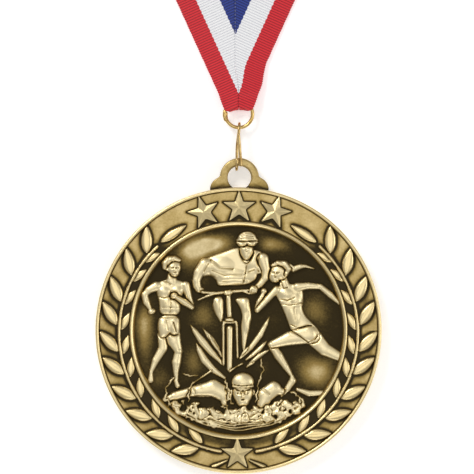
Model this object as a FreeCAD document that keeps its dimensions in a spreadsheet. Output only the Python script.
import FreeCAD, Part
import math
import os

import Sketcher
from FreeCAD import Placement, Rotation, Vector

# Finisher medal lying on its back, face up.
# Frame: origin on the back face at the disc's centre, +Z out of the face,
# +Y from the disc towards the ribbon, +X to the right.  Millimetres.

DIMENSIONS = {
    # struck disc
    "disc_radius": 34.925,
    "disc_thick": 4.0,
    "rim_width": 0.85,
    "edge_bevel": 0.35,
    "field_depth": 0.9,
    "bead_radius": 25.7,
    "bead_width": 1.4,
    "bead_drop": 0.15,
    "scene_depth": 1.5,
    "dish_depth": 0.35,
    # hanging tab cast with the disc
    "tab_x": 0.2,
    "tab_rise": 2.375,
    "tab_radius": 4.8,
    "hole_radius": 2.85,
    "lobe_spread": 4.1,
    "lobe_sink": 0.525,
    "lobe_radius": 2.95,
    "tab_thick": 2.0,
    # snap clip of bent spring wire
    "clip_wire": 0.73,
    "clip_clear": 0.1,
    "clip_run": 7.58,
    "hook_reach": 0.5,
    "stub_length": 0.6,
    "gate_gap": 0.04,
    "gate_length": 7.55,
    "tip_gap": 0.12,
    "clip_lift": 0.12,
    # wire ring
    "ring_radius": 3.33,
    "ring_wire": 0.88,
    "ring_x": 0.1,
    "ring_drop": 0.5,
    "ring_clear": 0.06,
    # woven ribbon
    "ribbon_width": 15.9,
    "ribbon_thick": 0.45,
    "fold_side_gap": 0.18,
    "fold_inset": 0.6,
    "fold_clear": 0.1,
    "sewn_length": 1.53,
    "flex_gap": 0.25,
    "vee_half_angle": 24.4,
    "vee_rise": 8.0,
    "vee_length": 22.5,
    "vee_ramp": 15.0,
    "vee_thick": 1.1,
    "vee_end_thick": 0.65,
    "floor_gap": 0.1,
    "pair_gap": 0.15,
    "twist_lead": 18.0,
    "twist_rise": 43.0,
    "loop_length": 800.0,
    "roll_core": 2.2,
    # sewing thread
    "thread": 0.28,
    "stitch_pitch": 2.4,
}
TWIST_STEPS = 9
STITCHES = 10

# Places shared by several pieces, as expressions on the dimensions.
TAB_Y = "(dims.disc_radius + dims.tab_rise)"
BAR_Y = "(%s + (dims.tab_radius + dims.hole_radius) / 2)" % TAB_Y
BAR_CORNER = "(sqrt((dims.tab_radius - dims.hole_radius) ^ 2 + dims.tab_thick ^ 2) / 2)"
BEND_INNER = "(%s + dims.clip_clear)" % BAR_CORNER
BEND = "(%s + dims.clip_wire / 2)" % BEND_INNER
MIDDLE_Z = "(dims.clip_lift + dims.clip_wire + %s)" % BEND_INNER
TAB_BOTTOM = "(%s - dims.tab_thick / 2)" % MIDDLE_Z
EYE_Y = "(%s + dims.clip_run)" % BAR_Y
EYE_REACH = "(%s - dims.ring_wire / 2 - dims.ring_clear)" % BEND_INNER
RING_Y = "(%s + sqrt(%s ^ 2 - dims.ring_drop ^ 2) + dims.ring_radius)" % (EYE_Y, EYE_REACH)
RING_Z = "(%s - dims.ring_drop)" % MIDDLE_Z
FOLD_Y = "(%s + dims.fold_inset)" % RING_Y
RING_INNER = "(dims.ring_radius - dims.ring_wire / 2)"
FOLD_WIDTH = "(2 * (sqrt(%s ^ 2 - dims.fold_inset ^ 2) - dims.fold_side_gap))" % RING_INNER
SLOT_END = "(%s + dims.ring_radius + dims.ring_wire / 2 + dims.fold_clear)" % RING_Y
FLEX_Y = "(%s + dims.sewn_length)" % SLOT_END
VEE_APEX = "(%s + dims.vee_rise)" % FLEX_Y
VEE_START = "(%s + dims.flex_gap)" % FLEX_Y

doc = FreeCAD.newDocument("FinisherMedal")
sheet = doc.addObject("Spreadsheet::Sheet", "dims")
for row, (alias, value) in enumerate(DIMENSIONS.items(), 1):
    sheet.set("A%d" % row, alias)
    sheet.set("B%d" % row, str(value))
    sheet.setAlias("B%d" % row, alias)
doc.recompute()


def dim(name):
    """Value of one spreadsheet cell."""
    return float(sheet.get(name))


def value(rule):
    """Number that an expression gives."""
    return float(sheet.evalExpression(rule))


def plane_of(body, role):
    """One of the body's own origin planes."""
    return next(item for item in body.Origin.OriginFeatures if item.Role == role)


def new_sketch(body, name, role, lift=None):
    """Sketch on an origin plane, lifted along its normal by an expression."""
    sketch = body.newObject("Sketcher::SketchObject", name)
    sketch.AttachmentSupport = [(plane_of(body, role), "")]
    sketch.MapMode = "FlatFace"
    if lift:
        sketch.setExpression(".AttachmentOffset.Base.z", lift)
    return sketch


def fix(sketch, kind, *where_and_rule):
    """Constraint whose size is an expression on the spreadsheet."""
    *where, rule = where_and_rule
    index = sketch.addConstraint(Sketcher.Constraint(kind, *where, value(rule)))
    sketch.setExpression("Constraints[%d]" % index, rule)


def pin_point(sketch, geometry, position, across, up):
    """Places one sketch point at two expressions, measured from the origin."""
    fix(sketch, "DistanceX", -1, 1, geometry, position, across)
    fix(sketch, "DistanceY", -1, 1, geometry, position, up)


def outline(sketch, corners):
    """Closed outline of straight lines through corners given as expressions."""
    points = [Vector(value(across), value(up), 0) for across, up in corners]
    count = len(points)
    first = sketch.GeometryCount
    for index, point in enumerate(points):
        sketch.addGeometry(Part.LineSegment(point, points[(index + 1) % count]), False)
    for index in range(count):
        joint = ("Coincident", first + index, 2, first + (index + 1) % count, 1)
        sketch.addConstraint(Sketcher.Constraint(*joint))
    for index, pair in enumerate(corners):
        pin_point(sketch, first + index, 1, *pair)


def add_circle(sketch, across, up, radius):
    """Circle whose centre and radius are expressions."""
    centre = Vector(value(across), value(up), 0)
    index = sketch.addGeometry(Part.Circle(centre, Vector(0, 0, 1), value(radius)), False)
    pin_point(sketch, index, 3, across, up)
    fix(sketch, "Radius", index, radius)


def pad(body, name, sketch, length):
    """Pad of a sketch to a length given as an expression."""
    feature = body.newObject("PartDesign::Pad", name)
    feature.Profile = sketch
    feature.setExpression("Length", length)
    return feature


def make_medal_body():
    """Disc with rim, wreath field, bead ring and dished centre, and its tab."""
    body = doc.addObject("PartDesign::Body", "medal_body")
    arch = new_sketch(body, "tab_arch_outline", "XY_Plane", TAB_BOTTOM)
    add_circle(arch, "dims.tab_x", TAB_Y, "dims.tab_radius")
    pad(body, "tab_arch", arch, "dims.tab_thick")
    lobe_y = "dims.disc_radius - dims.lobe_sink"
    lobes = new_sketch(body, "tab_lobe_outline", "XY_Plane", TAB_BOTTOM)
    for side in ("+", "-"):
        add_circle(lobes, "dims.tab_x %s dims.lobe_spread" % side, lobe_y, "dims.lobe_radius")
    pad(body, "tab_lobes", lobes, "dims.tab_thick")
    doc.recompute()
    before = body.Shape.Volume
    hole = new_sketch(body, "tab_hole_outline", "XY_Plane", TAB_BOTTOM)
    add_circle(hole, "dims.tab_x", TAB_Y, "dims.hole_radius")
    pocket = body.newObject("PartDesign::Pocket", "tab_hole")
    pocket.Profile = hole
    pocket.Reversed = True
    pocket.setExpression("Length", "dims.tab_thick")
    doc.recompute()
    assert body.Shape.Volume < before - 1.0, "the tab's hole cut nothing"

    rim = "dims.disc_radius"
    top = "dims.disc_thick"
    field = "dims.disc_thick - dims.field_depth"
    outer = "dims.bead_radius + dims.bead_width / 2"
    inner = "dims.bead_radius - dims.bead_width / 2"
    bead = "dims.disc_thick - dims.bead_drop"
    scene = "dims.disc_thick - dims.scene_depth"
    profile = new_sketch(body, "disc_profile", "XZ_Plane")
    outline(profile, [
        ("0", "0"),
        (rim + " - dims.edge_bevel", "0"),
        (rim, "dims.edge_bevel"),
        (rim, top + " - dims.edge_bevel"),
        (rim + " - dims.edge_bevel", top),
        (rim + " - dims.rim_width", top),
        (rim + " - dims.rim_width - dims.edge_bevel / 2", field),
        (outer, field),
        (outer + " - dims.bead_width / 4", bead),
        (inner + " + dims.bead_width / 4", bead),
        (inner, scene),
        ("0", scene + " - dims.dish_depth"),
    ])
    disc = body.newObject("PartDesign::Revolution", "disc")
    disc.Profile = profile
    disc.ReferenceAxis = (profile, ["V_Axis"])
    disc.Angle = 360
    return body


def clip_leans():
    """Sideways leans of the frame and of the gate, in degrees.

    They set the hook's end and the gate side by side, a wire and tip_gap apart.
    """
    apart = (dim("clip_wire") + dim("tip_gap")) / 2
    fall = dim("clip_run") - dim("hook_reach")
    frame_lean = math.asin(apart / fall)
    leg = dim("stub_length") + dim("gate_gap") + dim("clip_wire") / 2
    gate_lean = math.asin((apart + leg * math.sin(frame_lean)) / (fall - leg))
    return frame_lean, gate_lean


def make_clip_frame():
    """Bent wire: hook end, bend round the bar, back leg, eye round the ring, stub."""
    body = doc.addObject("PartDesign::Body", "clip_frame")
    path = new_sketch(body, "clip_path", "YZ_Plane")
    bar, eye, middle, bend = value(BAR_Y), value(EYE_Y), value(MIDDLE_Z), value(BEND)
    hook, stub = bar + dim("hook_reach"), eye - dim("stub_length")
    right = math.pi / 2
    up = Vector(0, 0, 1)
    path.addGeometry(Part.LineSegment(Vector(hook, middle + bend, 0), Vector(bar, middle + bend, 0)), False)
    low_bend = Part.Circle(Vector(bar, middle, 0), up, bend)
    path.addGeometry(Part.ArcOfCircle(low_bend, right, 3 * right), False)
    path.addGeometry(Part.LineSegment(Vector(bar, middle - bend, 0), Vector(eye, middle - bend, 0)), False)
    eye_bend = Part.Circle(Vector(eye, middle, 0), up, bend)
    path.addGeometry(Part.ArcOfCircle(eye_bend, -right, right), False)
    path.addGeometry(Part.LineSegment(Vector(eye, middle + bend, 0), Vector(stub, middle + bend, 0)), False)
    for joint in ((0, 2, 1, 1), (1, 2, 2, 1), (2, 2, 3, 1), (3, 2, 4, 1)):
        path.addConstraint(Sketcher.Constraint("Tangent", *joint))
    pin_point(path, 1, 3, BAR_Y, MIDDLE_Z)
    fix(path, "Radius", 1, BEND)
    fix(path, "DistanceX", -1, 1, 3, 3, EYE_Y)
    path.addConstraint(Sketcher.Constraint("Horizontal", 2))
    fix(path, "DistanceX", -1, 1, 0, 1, "%s + dims.hook_reach" % BAR_Y)
    fix(path, "DistanceX", -1, 1, 4, 2, "%s - dims.stub_length" % EYE_Y)
    section = new_sketch(body, "clip_section", "XZ_Plane", "-(%s + dims.hook_reach)" % BAR_Y)
    add_circle(section, "0", "%s + %s" % (MIDDLE_Z, BEND), "dims.clip_wire / 2")
    wire = body.newObject("PartDesign::AdditivePipe", "clip_wire_run")
    wire.Profile = section
    wire.Spine = (path, ["Edge%d" % index for index in range(1, 6)])
    frame_lean, _ = clip_leans()
    turn = Rotation(Vector(0, 0, 1), -math.degrees(frame_lean))
    body.Placement = Placement(Vector(0, 0, 0), turn, Vector(0, eye, 0))
    body.Placement.Base += Vector(dim("ring_x"), 0, 0)
    return body


def gate_pivot():
    """Point where the spring leg leaves the eye's stub."""
    run = dim("stub_length") + dim("gate_gap") + dim("clip_wire") / 2
    angle, _ = clip_leans()
    across = dim("ring_x") - run * math.sin(angle)
    return Vector(across, value(EYE_Y) - run * math.cos(angle), value(MIDDLE_Z) + value(BEND))


def make_clip_gate():
    """Spring leg: round wire with ball ends, beside the hook's end."""
    pivot = gate_pivot()
    leg = doc.addObject("Part::Cylinder", "gate_leg")
    leg.setExpression("Radius", "dims.clip_wire / 2")
    leg.setExpression("Height", "dims.gate_length")
    _, angle = clip_leans()
    along = Vector(math.sin(angle), -math.cos(angle), 0)
    leg.Placement = Placement(pivot, Rotation(Vector(0, 0, 1), along))
    balls = []
    for name, station in (("gate_root", 0.0), ("gate_tip", dim("gate_length"))):
        ball = doc.addObject("Part::Sphere", name)
        ball.setExpression("Radius", "dims.clip_wire / 2")
        ball.Placement = Placement(pivot + along * station, Rotation())
        balls.append(ball)
    gate = doc.addObject("Part::MultiFuse", "clip_gate")
    gate.Shapes = [leg] + balls
    return gate


def make_ring():
    """Round wire ring lying in the clip's eye."""
    ring = doc.addObject("Part::Torus", "ring")
    ring.setExpression("Radius1", "dims.ring_radius")
    ring.setExpression("Radius2", "dims.ring_wire / 2")
    ring.setExpression("Placement.Base.x", "dims.ring_x")
    ring.setExpression("Placement.Base.y", RING_Y)
    ring.setExpression("Placement.Base.z", RING_Z)
    return ring


def make_ribbon_loop():
    """Sewn end of the ribbon, folded round the ring's upper wire."""
    body = doc.addObject("PartDesign::Body", "ribbon_loop")
    side = new_sketch(body, "loop_side", "YZ_Plane")
    slot = "(dims.ring_wire / 2 + dims.fold_clear)"
    skin = "(%s + dims.ribbon_thick)" % slot
    inside = "(%s + dims.ribbon_thick)" % FOLD_Y
    end = "(%s - dims.flex_gap)" % FLEX_Y
    half_end = "dims.vee_thick / 2"
    outline(side, [
        (FOLD_Y, "%s - %s" % (RING_Z, slot)),
        (inside, "%s - %s" % (RING_Z, skin)),
        (SLOT_END, "%s - %s" % (RING_Z, skin)),
        (end, "%s - %s" % (RING_Z, half_end)),
        (end, "%s + %s" % (RING_Z, half_end)),
        (SLOT_END, "%s + %s" % (RING_Z, skin)),
        (inside, "%s + %s" % (RING_Z, skin)),
        (FOLD_Y, "%s + %s" % (RING_Z, slot)),
    ])
    outline(side, [
        (inside, "%s - %s" % (RING_Z, slot)),
        (SLOT_END, "%s - %s" % (RING_Z, slot)),
        (SLOT_END, "%s + %s" % (RING_Z, slot)),
        (inside, "%s + %s" % (RING_Z, slot)),
    ])
    loop = pad(body, "loop_skin", side, FOLD_WIDTH)
    loop.Midplane = True
    body.setExpression("Placement.Base.x", "dims.ring_x")
    return body


def vee_frame(side):
    """Start, heading and inward direction of one band's centre line at the vee's end."""
    angle = math.radians(dim("vee_half_angle"))
    heading = Vector(side * math.sin(angle), math.cos(angle), 0)
    inward = Vector(-side * math.cos(angle), math.sin(angle), 0)
    apex = Vector(0, value(VEE_APEX), 0)
    return apex + heading * dim("vee_length"), heading, inward


def make_ribbon_vee():
    """Two bands sewn edge to edge, sloping from the ring down to the table."""
    plan = doc.addObject("PartDesign::Body", "vee_plan")
    half = "dims.ribbon_width / 2"
    lean_out = "dims.vee_half_angle * 1 deg"
    sine, cosine = "sin(%s)" % lean_out, "cos(%s)" % lean_out
    end_x = "dims.vee_length * %s" % sine
    end_y = "(%s + dims.vee_length * %s)" % (VEE_APEX, cosine)
    start_x = "(%s / %s - (%s - %s) * tan(%s))" % (half, cosine, VEE_APEX, VEE_START, lean_out)
    corners = [
        ("-" + start_x, VEE_START),
        ("-(%s + %s * %s)" % (end_x, half, cosine), "%s - %s * %s" % (end_y, half, sine)),
        ("-(%s - %s * %s)" % (end_x, half, cosine), "%s + %s * %s" % (end_y, half, sine)),
        ("0", "%s + %s / %s" % (VEE_APEX, half, sine)),
        ("%s - %s * %s" % (end_x, half, cosine), "%s + %s * %s" % (end_y, half, sine)),
        ("%s + %s * %s" % (end_x, half, cosine), "%s - %s * %s" % (end_y, half, sine)),
        (start_x, VEE_START),
    ]
    outline(new_sketch(plan, "vee_outline", "XY_Plane"), corners)
    pad(plan, "vee_column", plan.Group[-1], "%s + dims.vee_thick" % RING_Z)

    slope = doc.addObject("PartDesign::Body", "vee_slope")
    side = new_sketch(slope, "vee_side", "YZ_Plane")
    far = "(%s + %s)" % (end_y, half)
    ramp_end = "(%s + dims.vee_ramp)" % VEE_START
    outline(side, [
        (VEE_START, "%s - dims.vee_thick / 2" % RING_Z),
        (ramp_end, "dims.floor_gap"),
        (far, "dims.floor_gap"),
        (far, "dims.floor_gap + dims.vee_end_thick"),
        (ramp_end, "dims.floor_gap + dims.vee_thick"),
        (VEE_START, "%s + dims.vee_thick / 2" % RING_Z),
    ])
    layer = pad(slope, "vee_layer", side, "4 * dims.ribbon_width")
    layer.Midplane = True
    vee = doc.addObject("Part::Common", "ribbon_vee")
    vee.Base = plan
    vee.Tool = slope
    return vee


def roll_sizes():
    """Pitch, mid radius and solid radius of the roll that takes the rest of the ribbon."""
    pitch = 2 * (dim("ribbon_thick") + dim("pair_gap"))
    flat = dim("vee_length") + value(VEE_APEX) - value(FOLD_Y)
    rest = dim("loop_length") / 2 - flat - dim("twist_rise")
    middle = math.sqrt(dim("roll_core") ** 2 + rest * pitch / math.pi)
    return pitch, middle, middle + pitch / 2


def twist_sections(side):
    """Cross-sections of one band as it turns from flat on the table to on edge.

    The centre line is a cubic from the vee's end to the pair line; the section
    rolls a quarter turn along it, always resting on its outer edge.
    """
    start, heading, inward = vee_frame(side)
    pair_x = side * (dim("pair_gap") + dim("ribbon_thick")) / 2
    finish = Vector(pair_x, start.y + dim("twist_rise"), 0)
    knots = [start, start + heading * dim("twist_lead"), finish - Vector(0, dim("twist_lead"), 0), finish]
    half_width, half_thick = dim("ribbon_width") / 2, dim("ribbon_thick") / 2
    sections = []
    for step in range(TWIST_STEPS + 1):
        part = step / TWIST_STEPS
        rest = 1 - part
        weights = (rest ** 3, 3 * rest ** 2 * part, 3 * rest * part ** 2, part ** 3)
        middle = Vector(0, 0, 0)
        for knot, weight in zip(knots, weights):
            middle += knot * weight
        slopes = (-rest ** 2, rest ** 2 - 2 * rest * part, 2 * rest * part - part ** 2, part ** 2)
        along = Vector(0, 0, 0)
        for knot, slope in zip(knots, slopes):
            along += knot * slope
        along.normalize()
        roll = math.radians(90) * part ** 2 * (3 - 2 * part)
        level = Vector(-side * along.y, side * along.x, 0)
        across = level * math.cos(roll) + Vector(0, 0, math.sin(roll))
        face = across.cross(along) * -side
        middle.z = dim("floor_gap") + half_thick * math.cos(roll) + half_width * math.sin(roll)
        corners = [middle + across * (half_width * a) + face * (half_thick * b)
                   for a, b in ((-1, -1), (1, -1), (1, 1), (-1, 1))]
        sections.append(Part.makePolygon(corners + corners[:1]))
    return sections


def make_ribbon_band(name, side, roll):
    """Twisted band from the vee to the roll, trimmed by the roll."""
    strip = doc.addObject("Part::Feature", name + "_strip")
    strip.Shape = Part.makeLoft(twist_sections(side), True, True)
    band = doc.addObject("Part::Cut", name)
    band.Base = strip
    band.Tool = roll
    return band


def make_ribbon_roll():
    """Both bands wound together on edge, as one solid of the outer shape."""
    pitch, middle, radius = roll_sizes()
    start, heading, inward = vee_frame(1)
    roll = doc.addObject("Part::Cylinder", "ribbon_roll")
    roll.Radius = radius
    roll.setExpression("Height", "dims.ribbon_width")
    roll.Placement = Placement(Vector(middle, start.y + dim("twist_rise"), dim("floor_gap")), Rotation())
    return roll


def make_seam_thread():
    """Row of stitches along the line where the two bands meet."""
    radius = dim("thread") / 2
    begin = value(VEE_START)
    top_start = value(RING_Z) + dim("vee_thick") / 2
    top_end = dim("floor_gap") + dim("vee_thick")
    beads = []
    for index in range(STITCHES):
        run = (index + 0.5) * dim("stitch_pitch")
        fall = min(run / dim("vee_ramp"), 1.0)
        height = top_start + (top_end - top_start) * fall
        beads.append(Part.makeSphere(radius, Vector(0, begin + run, height + radius)))
    thread = doc.addObject("Part::Feature", "seam_thread")
    thread.Shape = Part.makeCompound(beads)
    return thread


roll = make_ribbon_roll()
subparts = [
    make_medal_body(),
    make_clip_frame(),
    make_clip_gate(),
    make_ring(),
    make_ribbon_loop(),
    make_ribbon_vee(),
    make_ribbon_band("ribbon_band_left", -1, roll),
    make_ribbon_band("ribbon_band_right", 1, roll),
    roll,
    make_seam_thread(),
]
doc.recompute()

for item in doc.Objects:
    broken = {"Invalid", "Error"} & set(item.State)
    assert not broken, "%s failed: %s" % (item.Name, item.State)
for subpart in subparts:
    assert not subpart.Shape.isNull(), subpart.Label + " is empty"
    assert subpart.Shape.isValid(), subpart.Label + " is not valid"

os.makedirs("parts", exist_ok=True)
for subpart in subparts:
    subpart.Shape.exportStep("parts/%s.step" % subpart.Label)
    box = subpart.Shape.BoundBox
    print("%-18s volume %9.2f  x %7.2f %7.2f  y %7.2f %7.2f  z %6.2f %6.2f" % (
        subpart.Label, subpart.Shape.Volume,
        box.XMin, box.XMax, box.YMin, box.YMax, box.ZMin, box.ZMax))
pivot = gate_pivot()
print("clip_swing", value("dims.tab_x"), value(BAR_Y), value(MIDDLE_Z))
print("gate_flex", pivot.x, pivot.y, pivot.z)
print("ring_turn", dim("ring_x"), value(RING_Y), value(RING_Z))
print("ribbon_flex", dim("ring_x"), value(FLEX_Y), value(RING_Z) + dim("vee_thick") / 2)
print("roll pitch, middle, radius", roll_sizes(), "vee end", vee_frame(1)[0])
